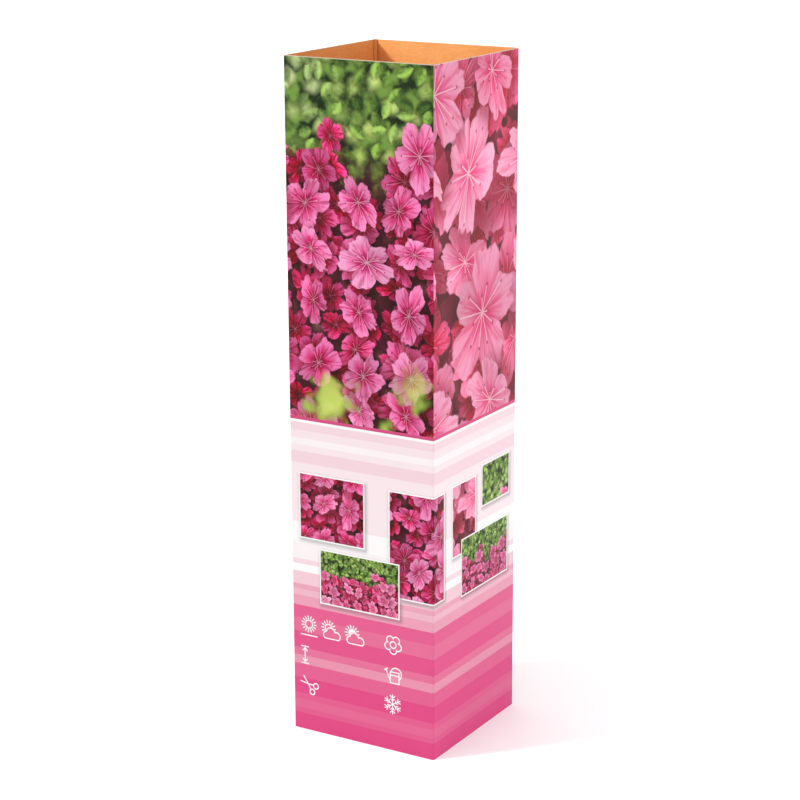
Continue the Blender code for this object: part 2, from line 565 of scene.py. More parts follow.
def make_layer(name, motif, colours, scatter, size, both=False):
    """A scatter of one motif, that many cells in radius. The colours are the motif's colour sockets."""
    wires, given, put_out = new_group(name, LAYER_INPUTS | colours, {"Colour": "colour"})
    own_colours = {title.replace(" ", "_"): given[title] for title in colours}
    place = wires.after(given["Under"], given["Place"])
    grid = place * (1.0 / given["Spacing"]) + given["Seed"]
    wavy = wires.wobbled(grid, BORDER_WAVES, BORDER_SWAY)
    stack = [wires.cells(wavy, "F1", scatter)]
    if both:
        stack = in_order(wires, stack[0], wires.cells(wavy, "F2", scatter))
    colour = given["Under"]
    for middle, random in stack:
        _, green, blue = wires.split(random)
        shrink = wires.spread(blue, 1.0 / size, 1.4 / size)
        offset = (grid - middle) * shrink
        own_place = (middle - given["Seed"]) * given["Spacing"]
        _, own_height, _ = wires.split(own_place)
        swell = wires.noise(own_place, 0.022, 1.0)
        drift = (swell - 0.5) * given["Wander"]
        allowed = given["Level"] > own_height + drift
        kept = wires.chance(blue * 91.0) > given["Thinning"]
        present = allowed * kept
        drawn = wires.use(motif, Offset=offset, Random=random, Softness=given["Softness"], **own_colours)
        colour = wires.mix(drawn["Shadow"] * present, colour, SHADE, "MULTIPLY")
        deep = wires.deepened(drawn["Colour"], given["Depth"] * wires.spread(swell, 0.35, 1.65))
        lit = wires.dimmed(deep, wires.spread(green, 0.86, 1.10))
        colour = wires.mix(drawn["Mask"] * present, colour, lit)
    put_out(Colour=colour)
    return wires.tree


top_blossoms = make_layer("Top Blossoms", blossom, BLOSSOM_COLOURS, 0.50, 0.69, both=True)
lower_blossoms = make_layer("Lower Blossoms", blossom, BLOSSOM_COLOURS, 0.45, 0.74)
leaves = make_layer("Leaves", leaf, LEAF_COLOURS, 0.8, 0.74)
print("layer groups:", [len(tree.nodes) for tree in (top_blossoms, lower_blossoms, leaves)], "nodes")

# %% [markdown]
# ## The canvas
#
# The layers now stack up into one endless picture of a garden in flower, in millimetres. It starts with a
# blotchy green glow, leaves far out of focus and leaves a little out of focus. Where the bush is thick,
# below height 0, a dark red thicket closes the gaps between them, and over it come blossoms in three
# depths, from dim to bright. Above height 0 there is only foliage. The view's third number says how pale
# the pinks are: in pale parts the colours are lighter and less deepened, as in sunlight. Each picture on
# the carton is a window on some other part of this canvas, at its own zoom, so the costly drawing is
# worked out once for a point.

# %% The canvas group
DEEP_PINKS = (ink(250, 160, 206), ink(228, 52, 134), ink(166, 4, 78))
PALE_PINKS = (ink(250, 144, 182), ink(241, 78, 134), ink(218, 26, 88))
DEEP_THICKET = ink(92, 8, 50)
PALE_THICKET = ink(150, 26, 74)
EVERYWHERE = 1.0e6
WANDER = 75.0
FAR_GREENS = {"Light_Colour": ink(214, 238, 140), "Dark_Colour": ink(76, 116, 36)}
NEAR_GREENS = {"Light_Colour": ink(176, 216, 104), "Dark_Colour": ink(38, 74, 20)}
# Seed, spacing in millimetres, softness and greens.
LEAF_LAYERS = ((7.3, 12.0, 1.0, FAR_GREENS), (2.9, 9.5, 0.55, NEAR_GREENS))
# Group, seed, spacing in millimetres, softness, share left out and how deep its colours are.
BLOSSOM_LAYERS = (
    (lower_blossoms, 11.7, 19.0, 0.05, 0.0, 2.3),
    (lower_blossoms, 4.2, 23.0, 0.04, 0.0, 1.5),
    (top_blossoms, 8.8, 27.0, 0.03, 0.18, 1.0),
)


def make_canvas():
    wires, given, put_out = new_group("Canvas", {"View": (0.0, 0.0, 0.0)}, {"Colour": "colour"})
    across, up, paleness = wires.split(given["View"])
    place = wires.join(across, up)
    deepening = wires.spread(paleness, 1.12, 0.72)
    pinks = {}
    for title, deep, pale in zip(BLOSSOM_COLOURS, DEEP_PINKS, PALE_PINKS):
        pinks[title.replace(" ", "_")] = wires.mix(paleness, deep, pale)
    glow = wires.noise(place, 0.09, 3.0)
    colour = wires.mix(wires.step(glow, 0.40, 0.66), ink(24, 42, 14), ink(118, 156, 66))
    for seed, spacing, softness, greens in LEAF_LAYERS:
        colour = wires.use(
            leaves,
            Place=place,
            Under=colour,
            Seed=(seed, 3.7 * seed, 0.0),
            Spacing=spacing,
            Level=EVERYWHERE,
            Thinning=0.10,
            Softness=softness,
            **greens,
        )["Colour"]
    thicket = wires.step(up, 6.0, -34.0) * 0.9
    colour = wires.mix(thicket, colour, wires.mix(paleness, DEEP_THICKET, PALE_THICKET))
    for layer, seed, spacing, softness, thinning, depth in BLOSSOM_LAYERS:
        colour = wires.use(
            layer,
            Place=place,
            Under=colour,
            Seed=(seed, 2.3 * seed, 0.0),
            Spacing=spacing,
            Wander=WANDER,
            Thinning=thinning,
            Softness=softness,
            Depth=deepening * depth,
            **pinks,
        )["Colour"]
    put_out(Colour=colour)
    return wires.tree


canvas = make_canvas()
print("canvas group:", len(canvas.nodes), "nodes")

# %% [markdown]
# ## Small framed pictures
#
# Over the join of the picture and the stripes lie a few small snapshots with thin white borders and soft
# shadows. This group lays one of them on top of whatever came before: inside the frame it moves the view
# to another part of the canvas, on its border it asks for white, and outside it only adds its shadow. The
# view is a place on the canvas; its third number isn't a height but tells how pale the pinks are there.

# %% The snapshot group
BORDER = 1.0
SHADOW_SPREAD = 4.2
PASSED_ON = {"View": (0.0, 0.0, 0.0), "Picture": 0.0, "White": 0.0, "Shade": 0.0}


def make_snapshot():
    own = {
        "Place": (0.0, 0.0, 0.0),
        "Middle": (0.0, 0.0, 0.0),
        "Half Size": (10.0, 10.0, 0.0),
        "Aim": (0.0, 0.0, 0.0),
        "Zoom": 1.0,
    }
    kinds = {title: kind_of(value) for title, value in PASSED_ON.items()}
    wires, given, put_out = new_group("Snapshot", own | PASSED_ON, kinds)
    local = given["Place"] - given["Middle"]

    def outside(place):
        """How far a place is outside the picture along each axis, in millimetres."""
        return abs(place) - given["Half Size"]

    x, y, _ = wires.split(outside(local))
    furthest = wires.math("MAXIMUM", x, y)
    picture = furthest < 0.0
    card = furthest < BORDER
    around_card = furthest > BORDER
    fallen = outside(local + (-1.0, 1.4, 0.0))
    distance = wires.length(wires.vector("MAXIMUM", fallen, (0.0, 0.0, 0.0)))
    shadow = wires.step(distance, SHADOW_SPREAD, 0.0) * 0.42
    zoomed = local * given["Zoom"] + given["Aim"]
    put_out(
        View=wires.mix_place(picture, given["View"], zoomed),
        Picture=given["Picture"] * around_card + picture,
        White=given["White"] * around_card + (card - picture),
        Shade=wires.math("MAXIMUM", given["Shade"], shadow) * around_card,
    )
    return wires.tree


snapshot = make_snapshot()
print("snapshot group:", len(snapshot.nodes), "nodes")

# %% [markdown]
# ## Care signs
#
# Such cartons carry little white line drawings that tell how to look after the plant: how much sun, when
# it flowers, how tall it grows, to water it, to cut it back, and that it stands frost. They are plain
# common signs, and each is a few strokes. For a stroke we work out how far a point is from a line or a
# ring, and take the least of these distances: where it is under half the line's width, there is ink. The
# class `Pen` knows these few strokes. Where a sign repeats round its middle, as rays and snowflakes do, we
# fold the plane up instead, so that one stroke is drawn and all its copies appear.

# %% The pen
LINE = 0.45


class Pen:
    """Gives the distance from a place to a stroke, in millimetres; inside a disc it is below 0."""

    def __init__(self, wires):
        self.wires = wires

    def line(self, place, start, end):
        run = Vector((end[0] - start[0], end[1] - start[1], 0.0))
        from_start = place - (start[0], start[1], 0.0)
        share = self.wires.vector("DOT_PRODUCT", from_start, run / run.length_squared)
        share = self.wires.math("MINIMUM", self.wires.math("MAXIMUM", share, 0.0), 1.0)
        return self.wires.length(from_start - self.wires.scaled(run, share))

    def disc(self, place, x, y, radius):
        return self.wires.length(place - (x, y, 0.0)) - radius

    def ring(self, place, x, y, radius):
        return abs(self.disc(place, x, y, radius))

    def both(self, first, second):
        """The part that two shapes share."""
        return self.wires.math("MAXIMUM", first, second)

    def nearest(self, *distances):
        least = distances[0]
        for distance in distances[1:]:
            least = self.wires.math("MINIMUM", least, distance)
        return least

    def folded(self, place, count, turn=0.0):
        """Folds the plane into one wedge, so that what is drawn along its x axis repeats all round."""
        x, y, _ = self.wires.split(place)
        angle = self.wires.math("ARCTAN2", y, x) + turn
        angle = self.wires.math("PINGPONG", angle, math.pi / count)
        radius = self.wires.length(place)
        across = self.wires.math("SINE", angle)
        along = self.wires.math("COSINE", angle)
        return self.wires.join(radius * along, radius * across)


print("a sign's lines are", 2 * LINE, "mm wide")

# %% Signs for light and for the flowering time


def draw_sun(pen, place, radius, rays, first, last):
    ray = pen.line(pen.folded(place, rays), (first, 0.0), (last, 0.0))
    return pen.nearest(pen.ring(place, 0.0, 0.0, radius), ray)


def draw_cloud(pen, place):
    """Three puffs with a flat base."""
    left = pen.disc(place, -4.5, -0.3, 2.8)
    top = pen.disc(place, -1.0, 1.9, 3.8)
    right = pen.disc(place, 4.0, -0.2, 3.2)
    puffs = pen.nearest(left, top, right)
    x, height, _ = pen.wires.split(place)
    under = pen.both(abs(x + 0.2) - 4.3, height)
    return pen.both(pen.nearest(puffs, under), -2.9 - height)


def draw_full_sun(pen, sheet):
    sun = draw_sun(pen, sheet - (13.9, 83.9, 0.0), 3.1, 15, 4.4, 6.2)
    return pen.nearest(sun, pen.line(sheet, (7.0, 75.2), (20.9, 75.2)))


def draw_veiled_suns(pen, sheet):
    """Two suns behind clouds, side by side: the first one's disc is filled in."""
    place = sheet - (32.6, 79.6, 0.0)
    x, y, _ = pen.wires.split(place)
    second = x > 10.2
    place = pen.wires.join(x - second * 20.4, y)
    cloud = draw_cloud(pen, place - (1.3, -0.7, 0.0))
    sun = draw_sun(pen, place - (-1.5, 4.5, 0.0), 2.9, 14, 4.2, 6.0)
    bright = pen.disc(place, -1.5, 4.5, 2.7) + (1.0 - second) * 99.0
    sun = pen.nearest(sun, bright)
    return pen.nearest(abs(cloud), pen.both(sun, 1.1 - cloud))


def draw_flower(pen, sheet):
    middle = sheet - (86.4, 82.1, 0.0)
    petal = pen.folded(middle, 5, math.pi / 2)
    rim = pen.nearest(pen.disc(petal, 4.2, 0.0, 2.9), pen.disc(middle, 0.0, 0.0, 3.9))
    return pen.nearest(abs(rim), pen.ring(middle, 0.0, 0.0, 2.5))


TOP_SIGNS = (draw_full_sun, draw_veiled_suns, draw_flower)
print("signs in the top row:", [draw.__name__ for draw in TOP_SIGNS])

# %% Signs for the height, watering, cutting back and frost


def draw_height(pen, sheet):
    """An arrow with two heads, between two bars."""
    place = sheet - (10.1, 59.2, 0.0)
    shaft = pen.line(place, (0.0, -5.2), (0.0, 5.2))
    x, y, _ = pen.wires.split(place)
    one_end = pen.wires.join(abs(x), abs(y))
    head = pen.line(one_end, (0.0, 5.4), (1.9, 3.3))
    bars = pen.line(one_end, (0.0, 6.6), (3.0, 6.6))
    return pen.nearest(shaft, head, bars)


def draw_can(pen, sheet):
    place = sheet - (87.6, 58.4, 0.0)
    x, y, _ = pen.wires.split(place)
    wide = abs(x) - 3.7
    body = pen.both(wide, abs(y + 1.6) - 4.2)
    pipe = pen.line(place, (-3.7, -4.6), (-7.4, 4.2))
    spout = pen.nearest(pipe, pen.line(place, (-8.4, 3.4), (-6.2, 4.8)))
    handle = pen.both(pen.ring(place, 1.2, 1.6, 4.5), 0.4 - body)
    return pen.nearest(abs(body), pen.line(place, (-3.7, 0.2), (3.7, 0.2)), spout, handle)


def draw_shears(pen, sheet):
    """One blade and its grip, folded over so that the other appears."""
    x, y, _ = pen.wires.split(pen.wires.turn(sheet - (13.5, 36.0, 0.0), -1.0))
    place = pen.wires.join(abs(x), y)
    blade = pen.line(place, (0.0, 1.0), (2.6, 7.4))
    arm = pen.line(place, (0.0, 1.0), (2.3, -2.9))
    return pen.nearest(pen.nearest(blade, arm), pen.ring(place, 3.0, -4.9, 2.1))


def draw_snowflake(pen, sheet):
    place = pen.folded(sheet - (85.7, 36.0, 0.0), 6, math.pi / 2)
    arm = pen.line(place, (0.0, 0.0), (7.4, 0.0))
    twigs = pen.nearest(pen.line(place, (4.7, 0.0), (6.5, 1.9)), pen.line(place, (2.5, 0.0), (4.2, 1.5)))
    return pen.nearest(arm, twigs) + 0.06


LOWER_SIGNS = (draw_height, draw_can, draw_shears, draw_snowflake)
print("signs in the lower rows:", [draw.__name__ for draw in LOWER_SIGNS])

# %% The signs group
SOFT_LINE = 0.08
SIGNS = TOP_SIGNS + LOWER_SIGNS


def make_signs():
    wires, given, put_out = new_group("Signs", {"Place": (0.0, 0.0, 0.0)}, {"Mask": "float"})
    pen = Pen(wires)
    strokes = pen.nearest(*[draw(pen, given["Place"]) for draw in SIGNS])
    put_out(Mask=wires.step(strokes, LINE + SOFT_LINE, LINE - SOFT_LINE))
    return wires.tree


signs = make_signs()
print("signs group:", len(SIGNS), "signs in", len(signs.nodes), "nodes")

# %% [markdown]
# ## The stripes
#
# The lower half is a ladder of pink bands, deep at the foot and fading to white halfway up. They are all
# tints of one ink, as a printer would lay them: each has the height where it starts, in millimetres, and
# the strength of the ink. A colour ramp set to Constant holds such a ladder well. A thin line in a darker
# ink closes it at the top.

# %% The stripes group
STRIPES_TOP = 250.0
PINK_INK = ink(231, 77, 138)
EDGE_LINE = (239.2, ink(214, 80, 131))
STRIPES = (
    (0.0, 1.00), (11.8, 0.95), (16.6, 0.92), (22.8, 0.95), (27.5, 1.00), (40.6, 0.94), (51.4, 0.74),
    (58.3, 0.89), (63.7, 0.98), (76.4, 0.90), (87.4, 0.95), (97.3, 0.68), (104.6, 0.54), (110.0, 0.66),
    (113.6, 0.41), (123.5, 0.00), (129.3, 0.30), (133.0, 0.10), (147.0, 0.03), (161.5, 0.20),
    (206.5, 0.35), (214.9, 0.20), (220.3, 0.10), (225.2, 0.22), (231.0, 0.33), (236.8, 0.00),
)


def make_stripes():
    wires, given, put_out = new_group("Stripes", {"Height": 0.0}, {"Colour": "colour"})
    node = wires.add("ValToRGB")
    printed = wires.apply(node, ("Fac",), (given["Height"] / STRIPES_TOP,), "Color")
    ramp = node.color_ramp
    ramp.interpolation = "CONSTANT"
    ramp.elements.remove(ramp.elements[1])
    ramp.elements[0].position = 0.0
    bands = [(height, [1 + strength * (full - 1) for full in PINK_INK]) for height, strength in STRIPES]
    ramp.elements[0].color = bands[0][1]
    for height, colour in bands[1:] + [EDGE_LINE]:
        ramp.elements.new(height / STRIPES_TOP).color = colour
    put_out(Colour=printed)
    return wires.tree


stripes = make_stripes()
print("stripes:", len(STRIPES), "bands")

# %% [markdown]
# ## The whole print
#
# Now the artwork is put together from the carton's unrolled surface. On the map called Print, u runs
# along the wall in metres, from -0.12 to 0 on the front and back walls and from 0 to 0.12 on the sides,
# and v is the height. The front and back share one design and the sides the other, and the picture that
# lies across the corner where u is 0 carries on from one to the other.
#
# A renderer works out a whole material wherever a ray meets it, also the parts that don't show there. So
# the design is made as three groups for three bands of the wall, and each band gets its own material: the
# signs on stripes, the snapshots on stripes, and the large garden pictures. They meet on stripes' edges,
# so no seam shows. In the front's large picture the pinks grow paler with height, as in sunlight, and at
# its foot lime leaves, far out of focus, hang in front of the blossoms.

# %% The design's heights, colours and snapshots
SIGNS_TOP = 97.3
SNAPSHOTS_TOP = 236.8
PICTURE_FOOT = 241.7
WALL = 120.0
WHITE = ink(255, 255, 255)
SNAPSHOT_SHADE = ink(60, 40, 50)
DARK_LIME = ink(120, 160, 44)
PALE_LIME = ink(204, 226, 104)
LIME_TOP = 315.0
LIME_FOOT = 250.0
# Name, middle and half size on the wall, aim and paleness on the canvas, and zoom.
SNAPSHOTS = (
    ("meadow", (-85.0, 175.0), (27.0, 24.0), (420.0, -190.0, 0.1), 1.15),
    ("corner", (-11.0, 158.0), (25.0, 39.0), (-310.0, -120.0, 0.0), 0.95),
    ("garden", (-62.0, 123.0), (33.0, 20.0), (150.0, -6.0, 0.3), 2.7),
    ("close", (43.0, 172.0), (16.5, 26.0), (700.0, -220.0, 1.0), 0.60),
    ("leaves", (90.0, 188.0), (20.0, 15.0), (900.0, 40.0, 0.5), 1.6),
    ("border", (74.0, 134.0), (34.0, 21.0), (-700.0, -10.0, 0.0), 2.4),
)
print("snapshots:", [name for name, *_ in SNAPSHOTS])

# %% The three designs


def start_design(name):
    wires, given, put_out = new_group(name, {"Place": (0.0, 0.0, 0.0)}, {"Colour": "colour"})
    along, height, _ = wires.split(given["Place"])
    bands = wires.use(stripes, Height=height)["Colour"]
    return wires, given["Place"], along, height, bands, put_out


def make_signs_design():
    wires, place, along, _, bands, put_out = start_design("Signs Design")
    sign = wires.use(signs, Place=place + (WALL, 0.0, 0.0))["Mask"]
    on_front = along < 0.0
    put_out(Colour=wires.mix(sign * on_front, bands, WHITE))
    return wires.tree


def make_snapshots_design():
    wires, place, _, _, bands, put_out = start_design("Snapshots Design")
    chain = PASSED_ON
    for _, middle, half_size, aim, zoom in SNAPSHOTS:
        chain = wires.use(
            snapshot,
            Place=place,
            Middle=(*middle, 0.0),
            Half_Size=(*half_size, 0.0),
            Aim=aim,
            Zoom=zoom,
            **chain,
        )
    painting = wires.use(canvas, View=chain["View"])["Colour"]
    colour = wires.mix(chain["White"], bands, WHITE)
    colour = wires.mix(chain["Picture"], colour, painting)
    put_out(Colour=wires.mix(chain["Shade"], colour, SNAPSHOT_SHADE))
    return wires.tree


def make_garden_design():
    wires, place, along, height, bands, put_out = start_design("Garden Design")
    on_side = along > 0.0
    sunlit = wires.join(along, height, height * 0.004)
    front_view = (sunlit - (40.0, 438.0, 1.6)) * 0.7
    side_view = place * 0.345 + (260.0, -520.0, 1.0)
    painting = wires.use(canvas, View=wires.mix_place(on_side, front_view, side_view))["Colour"]

    wander = wires.noise(wires.after(painting, place), 0.030, 2.0)
    low = wires.step(height, LIME_TOP, LIME_FOOT)
    blurred = wires.step(low * 0.22 + wander, 0.66, 0.80)
    lime = wires.mix(wires.step(wander, 0.45, 0.70), DARK_LIME, PALE_LIME)
    painting = wires.mix(blurred * low * (1.0 - on_side) * 0.92, painting, lime)
    in_picture = height > PICTURE_FOOT
    put_out(Colour=wires.mix(in_picture, bands, painting))
    return wires.tree


signs_design = make_signs_design()
snapshots_design = make_snapshots_design()
garden_design = make_garden_design()
print("designs:", [len(tree.nodes) for tree in (signs_design, snapshots_design, garden_design)], "nodes")

# %% [markdown]
# ## The printed paper
#
# The outer sheet of the board is smooth white paper, printed and sealed with a satin varnish. Three things
# keep it from looking like plastic: the flutes under it show through as a faint washboard, the varnish is a
# little uneven, and the ink cracks to white where the board is creased or cut, so that a hair-thin bare line
# runs along the rim. The faces at the sheet's back and edges have their Print map below zero, which tells
# the material to leave them bare.

# %% A blank material, the board's relief and the wear
FLUTE_PITCH = 3.25 * MM
WEAR_WIDTH = 0.6


def new_material(name):
    material = bpy.data.materials.new(name)
    material.use_nodes = True
    material.node_tree.nodes.clear()
    wires = Wires(material.node_tree)
    surface = wires.add("BsdfPrincipled")
    leave = wires.add("OutputMaterial")
    material.node_tree.links.new(surface.outputs[0], leave.inputs["Surface"])
    return material, wires, surface


def make_board_relief():
    """What the board does to a sheet: a washboard along the wall and the paper's own fine grain."""
    wires, given, put_out = new_group(
        "Board Relief", {"Along": 0.0, "Place": (0.0, 0.0, 0.0)}, {"Washboard": "float", "Grain": "float"}
    )
    washboard = wires.math("SINE", given["Along"] * (2 * math.pi / FLUTE_PITCH))
    grain = wires.noise(given["Place"] * (1.0, 1.0, 0.35), 900.0, 3.0, flat=False)
    put_out(Washboard=washboard, Grain=grain)
    return wires.tree


def make_wear():
    """How much ink has cracked away near the creases, the rim and the foot, for a place in millimetres."""
    wires, given, put_out = new_group("Wear", {"Place": (0.0, 0.0, 0.0)}, {"Amount": "float"})
    along, height, _ = wires.split(given["Place"])
    to_rim = HEIGHT / MM - height
    to_cut = wires.math("MINIMUM", height, to_rim)
    to_corner = wires.math("PINGPONG", along + WALL, WALL) + to_cut * 0.08
    nearest = wires.math("MINIMUM", to_corner, to_cut)
    patches = wires.noise(given["Place"], 0.35, 2.0)
    crumbs = wires.noise(given["Place"] * (1.0, 0.3, 0.0), 3.0, 2.0)
    near = wires.step(nearest, WEAR_WIDTH, 0.0)
    cracked = wires.step(near * 0.3 + crumbs * patches, 0.52, 0.66)
    sliver = wires.step(to_rim, 0.45, 0.20)
    put_out(Amount=wires.math("MAXIMUM", cracked * near, sliver))
    return wires.tree


board_relief = make_board_relief()
wear = make_wear()
print("relief and wear groups:", len(board_relief.nodes), "and", len(wear.nodes), "nodes")

# %% The printed paper's materials
PAPER = ink(246, 243, 236)
PAPER_WHITE = 0.615


def make_printed_paper(name, design):
    material, wires, surface = new_material(name)
    in_metres = wires.read("UVMap", "UV", uv_map="Print")
    place = in_metres * (1.0 / MM)
    u, v, _ = wires.split(place)
    inked = v > -1.0
    art = wires.use(design, Place=place)["Colour"]
    worn = wires.use(wear, Place=place)["Amount"]
    art = wires.mix(worn * 0.7, art, PAPER)
    wires.feed(surface.inputs["Base Color"], wires.dimmed(wires.mix(inked, PAPER, art), PAPER_WHITE))
    relief = wires.use(board_relief, Along=u * MM, Place=in_metres)
    haze = wires.noise(place, 0.05, 3.0)
    rough = wires.spread(haze, 0.36, 0.5) + worn * 0.25
    wires.feed(surface.inputs["Roughness"], rough)
    surface.inputs["Specular IOR Level"].default_value = 0.12
    wires.emboss(surface, relief["Washboard"] * 0.5 + relief["Grain"], 0.05 * MM, 0.35)
    return material


signs_paper = make_printed_paper("Printed paper, signs", signs_design)
snapshots_paper = make_printed_paper("Printed paper, snapshots", snapshots_design)
garden_paper = make_printed_paper("Printed paper, garden", garden_design)
print("printed papers:", [paper.name for paper in (signs_paper, snapshots_paper, garden_paper)])

# %% [markdown]
# ## Brown kraft
#
# The inside of the board, and its cut edges, are bare kraft: long brown fibres that lie mostly one way,
# with lighter and darker ones among them and a few dark specks of bark. One group gives the colour and the
# height of the fibres, and two materials use it: a warm smooth liner for the inside, and a duller, paler
# medium for the wavy paper, which is only seen at the rim.

# %% The kraft group
def make_kraft():
    wires, given, put_out = new_group(
        "Kraft",
        {"Place": (0.0, 0.0, 0.0), "Light Colour": ink(250, 180, 110), "Dark Colour": ink(190, 110, 50)},
        {"Colour": "colour", "Height": "float"},
    )
    place = given["Place"]
    fibres = wires.noise(place * (0.25, 0.25, 1.0), 2600.0, 4.0, flat=False)
    strands = wires.noise(place * (0.4, 0.4, 1.0), 700.0, 3.0, flat=False)
    clouds = wires.noise(place, 45.0, 3.0, flat=False)
    specks = wires.noise(place, 1500.0, 1.0, flat=False)
    height = fibres * 0.6 + strands * 0.4
    light = height * 0.7 + clouds * 0.3
    colour = wires.mix(wires.step(light, 0.30, 0.68), given["Dark Colour"], given["Light Colour"])
    colour = wires.mix(wires.step(specks, 0.74, 0.8) * 0.5, colour, given["Dark Colour"])
    put_out(Colour=colour, Height=height)
    return wires.tree


kraft = make_kraft()
print("kraft group:", len(kraft.nodes), "nodes")

# %% Dirt and painted shade in the creases' grooves, and the two kraft materials
LINER_COLOURS = (ink(252, 186, 116), ink(234, 158, 88))
GROOVE = 3.6
GROOVE_WIDTH = 0.45
# Painted shade, with some dirt, for the grooves beside each inner crease.
GROOVE_DIRT_AND_SHADE = ink(112, 52, 18)


def make_groove_dirt_and_shade():
    """The dirt and painted shade in the grooves beside each inner crease, from a place in metres."""
    wires, given, put_out = new_group("Crease Groove", {"Place": (0.0, 0.0, 0.0)}, {"Amount": "float"})
    inwards = (HALF, HALF, 0.0) - abs(given["Place"])
    x, y, _ = wires.split(inwards * (1.0 / MM))
    put_out(Amount=wires.bell(wires.math("MAXIMUM", x, y) - GROOVE, GROOVE_WIDTH))
    return wires.tree


groove_dirt_and_shade = make_groove_dirt_and_shade()


def make_kraft_material(name, light, dark):
    material, wires, surface = new_material(name)
    place = wires.read("TexCoord", "Object")
    sheet = wires.use(kraft, Place=place, Light_Colour=light, Dark_Colour=dark)
    # The kraft is darkened in the grooves beside the inner creases: partly dirt, partly painted shade.
    shade = wires.use(groove_dirt_and_shade, Place=place)["Amount"] * 0.7
    wires.feed(surface.inputs["Base Color"], wires.mix(shade, sheet["Colour"], GROOVE_DIRT_AND_SHADE))
    wires.feed(surface.inputs["Roughness"], wires.spread(sheet["Height"], 0.70, 0.92))
    surface.inputs["Specular IOR Level"].default_value = 0.25
    along, _, _ = wires.split(place)
    relief = wires.use(board_relief, Along=along, Place=place)
    wires.emboss(surface, sheet["Height"] + relief["Washboard"] * 0.3, 0.06 * MM, 0.5)
    return material


inner_kraft = make_kraft_material("Inner kraft", *LINER_COLOURS)
medium_kraft = make_kraft_material("Medium kraft", ink(236, 176, 118), ink(196, 130, 76))
print("kraft materials:", inner_kraft.name, "and", medium_kraft.name)

# %% [markdown]
# ## The printed sheet
#
# Each wall's outer paper starts as a plane. Both upright edges are spun by an eighth of a turn round the
# creases, so that neighbours meet halfway round the corner, and then the sheet is thickened inwards. The
# front one is made first; the others are copies of its mesh, turned by quarter turns, since the carton is
# square. Working on the wall that faces us keeps the sizes easy to read. Two level cuts part the sheet
# where one band of the design ends and the next begins, so that each band can wear its own material.

# %% Helpers for modelling
PAPER_THICKNESS = 0.25 * MM
CREASE_STEPS = 6
EIGHTH = math.radians(45)
FLAT = HALF - CREASE_RADIUS


def start_plane(name, width, height, y, foot=0.0):
    """An upright plane that faces the front, standing at the foot height."""
    bpy.ops.object.select_all(action="DESELECT")
    bpy.ops.mesh.primitive_plane_add(size=1.0, rotation=(math.radians(90), 0.0, 0.0))
    piece = bpy.context.object
    piece.name = name
    piece.scale = (width, height, 1.0)
    piece.location = (0.0, y, foot + height / 2)
    bpy.ops.object.transform_apply(location=True, rotation=True, scale=True)
    return piece


def pick(piece, test, kind="VERT"):
    """In edit mode, selects exactly the vertices, edges or faces that pass the test."""
    bpy.ops.mesh.select_mode(type=kind)
    bpy.ops.mesh.select_all(action="DESELECT")
    mesh = bmesh.from_edit_mesh(piece.data)
    chosen = {"VERT": mesh.verts, "EDGE": mesh.edges, "FACE": mesh.faces}[kind]
    for part in chosen:
        points = [part.co] if kind == "VERT" else [corner.co for corner in part.verts]
        if all(test(point) for point in points):
            part.select_set(True)
    mesh.select_flush_mode()
    bmesh.update_edit_mesh(piece.data)


def thicken(piece, thickness):
    """Gives a sheet its thickness, behind the side it shows."""
    solidify = piece.modifiers.new("Thickness", "SOLIDIFY")
    solidify.thickness = thickness
    solidify.offset = -1.0
    solidify.use_even_offset = True
    bpy.ops.object.modifier_apply(modifier=solidify.name)


def smooth(piece, degrees=30):
    bpy.ops.object.select_all(action="DESELECT")
    piece.select_set(True)
    bpy.context.view_layer.objects.active = piece
    bpy.ops.object.shade_smooth_by_angle(angle=math.radians(degrees))


print("flat part of a wall:", round(2 * FLAT / MM, 1), "mm wide")

# %% The front's printed sheet
sheet = start_plane("front_print_sheet", 2 * FLAT, HEIGHT, -HALF)
bpy.ops.object.mode_set(mode="EDIT")
for height in (SIGNS_TOP, SNAPSHOTS_TOP):
    bpy.ops.mesh.select_all(action="SELECT")
    bpy.ops.mesh.bisect(plane_co=(0.0, 0.0, height * MM), plane_no=(0.0, 0.0, 1.0))
for side in (-1, 1):
    pick(sheet, lambda point: abs(point.x - side * FLAT) < 1e-6)
    centre = (side * FLAT, -FLAT, 0.0)
    bpy.ops.mesh.spin(steps=CREASE_STEPS, angle=-side * EIGHTH, center=centre, axis=(0.0, 0.0, 1.0))
bpy.ops.mesh.select_all(action="SELECT")
bpy.ops.mesh.remove_doubles(threshold=1e-6)
bpy.ops.mesh.normals_make_consistent(inside=False)
bpy.ops.object.mode_set(mode="OBJECT")
shown_faces = len(sheet.data.polygons)
thicken(sheet, PAPER_THICKNESS)
smooth(sheet)
reach = max(vertex.co.x for vertex in sheet.data.vertices)
print("sheet:", shown_faces, "faces shown, reaching", round(reach / MM, 3), "mm to the side")

# %% [markdown]
# ## Two maps for the sheet
#
# The Print map unrolls the sheet, so that artwork runs over the rounded creases without a stretch. The
# second map, OFBake, is for turning the material into a picture later: it gives nearly the whole square
# to the printed face, and lays the back and the four thin edges side by side in strips of their own.

# %% Where each corner of the sheet goes
ROUND = FLAT + CREASE_RADIUS * EIGHTH
BARE = -0.05
BAKE_MARGIN = 0.01
BAKE_STRIPS = {
    "face": (0.01, 0.90),
    "back": (0.93, 0.025),
    "left": (0.963, 0.005),
    "right": (0.973, 0.005),
    "foot": (0.983, 0.005),
    "rim": (0.992, 0.005),
}


def unrolled(point):
    """How far along the outside a point of the front wall is, from -HALF to HALF."""
    if abs(point.x) <= FLAT:
        length = point.x
    else:
        angle = math.atan2(abs(point.x) - FLAT, -FLAT - point.y)
        length = math.copysign(FLAT + CREASE_RADIUS * angle, point.x)
    return length * HALF / ROUND


def depth_of(point):
    """0 on the sheet's printed side and 1 on its back."""
    if abs(point.x) <= FLAT:
        behind = point.y + HALF
    else:
        behind = CREASE_RADIUS - math.hypot(abs(point.x) - FLAT, point.y + FLAT)
    return 1.0 if behind > PAPER_THICKNESS / 2 else 0.0


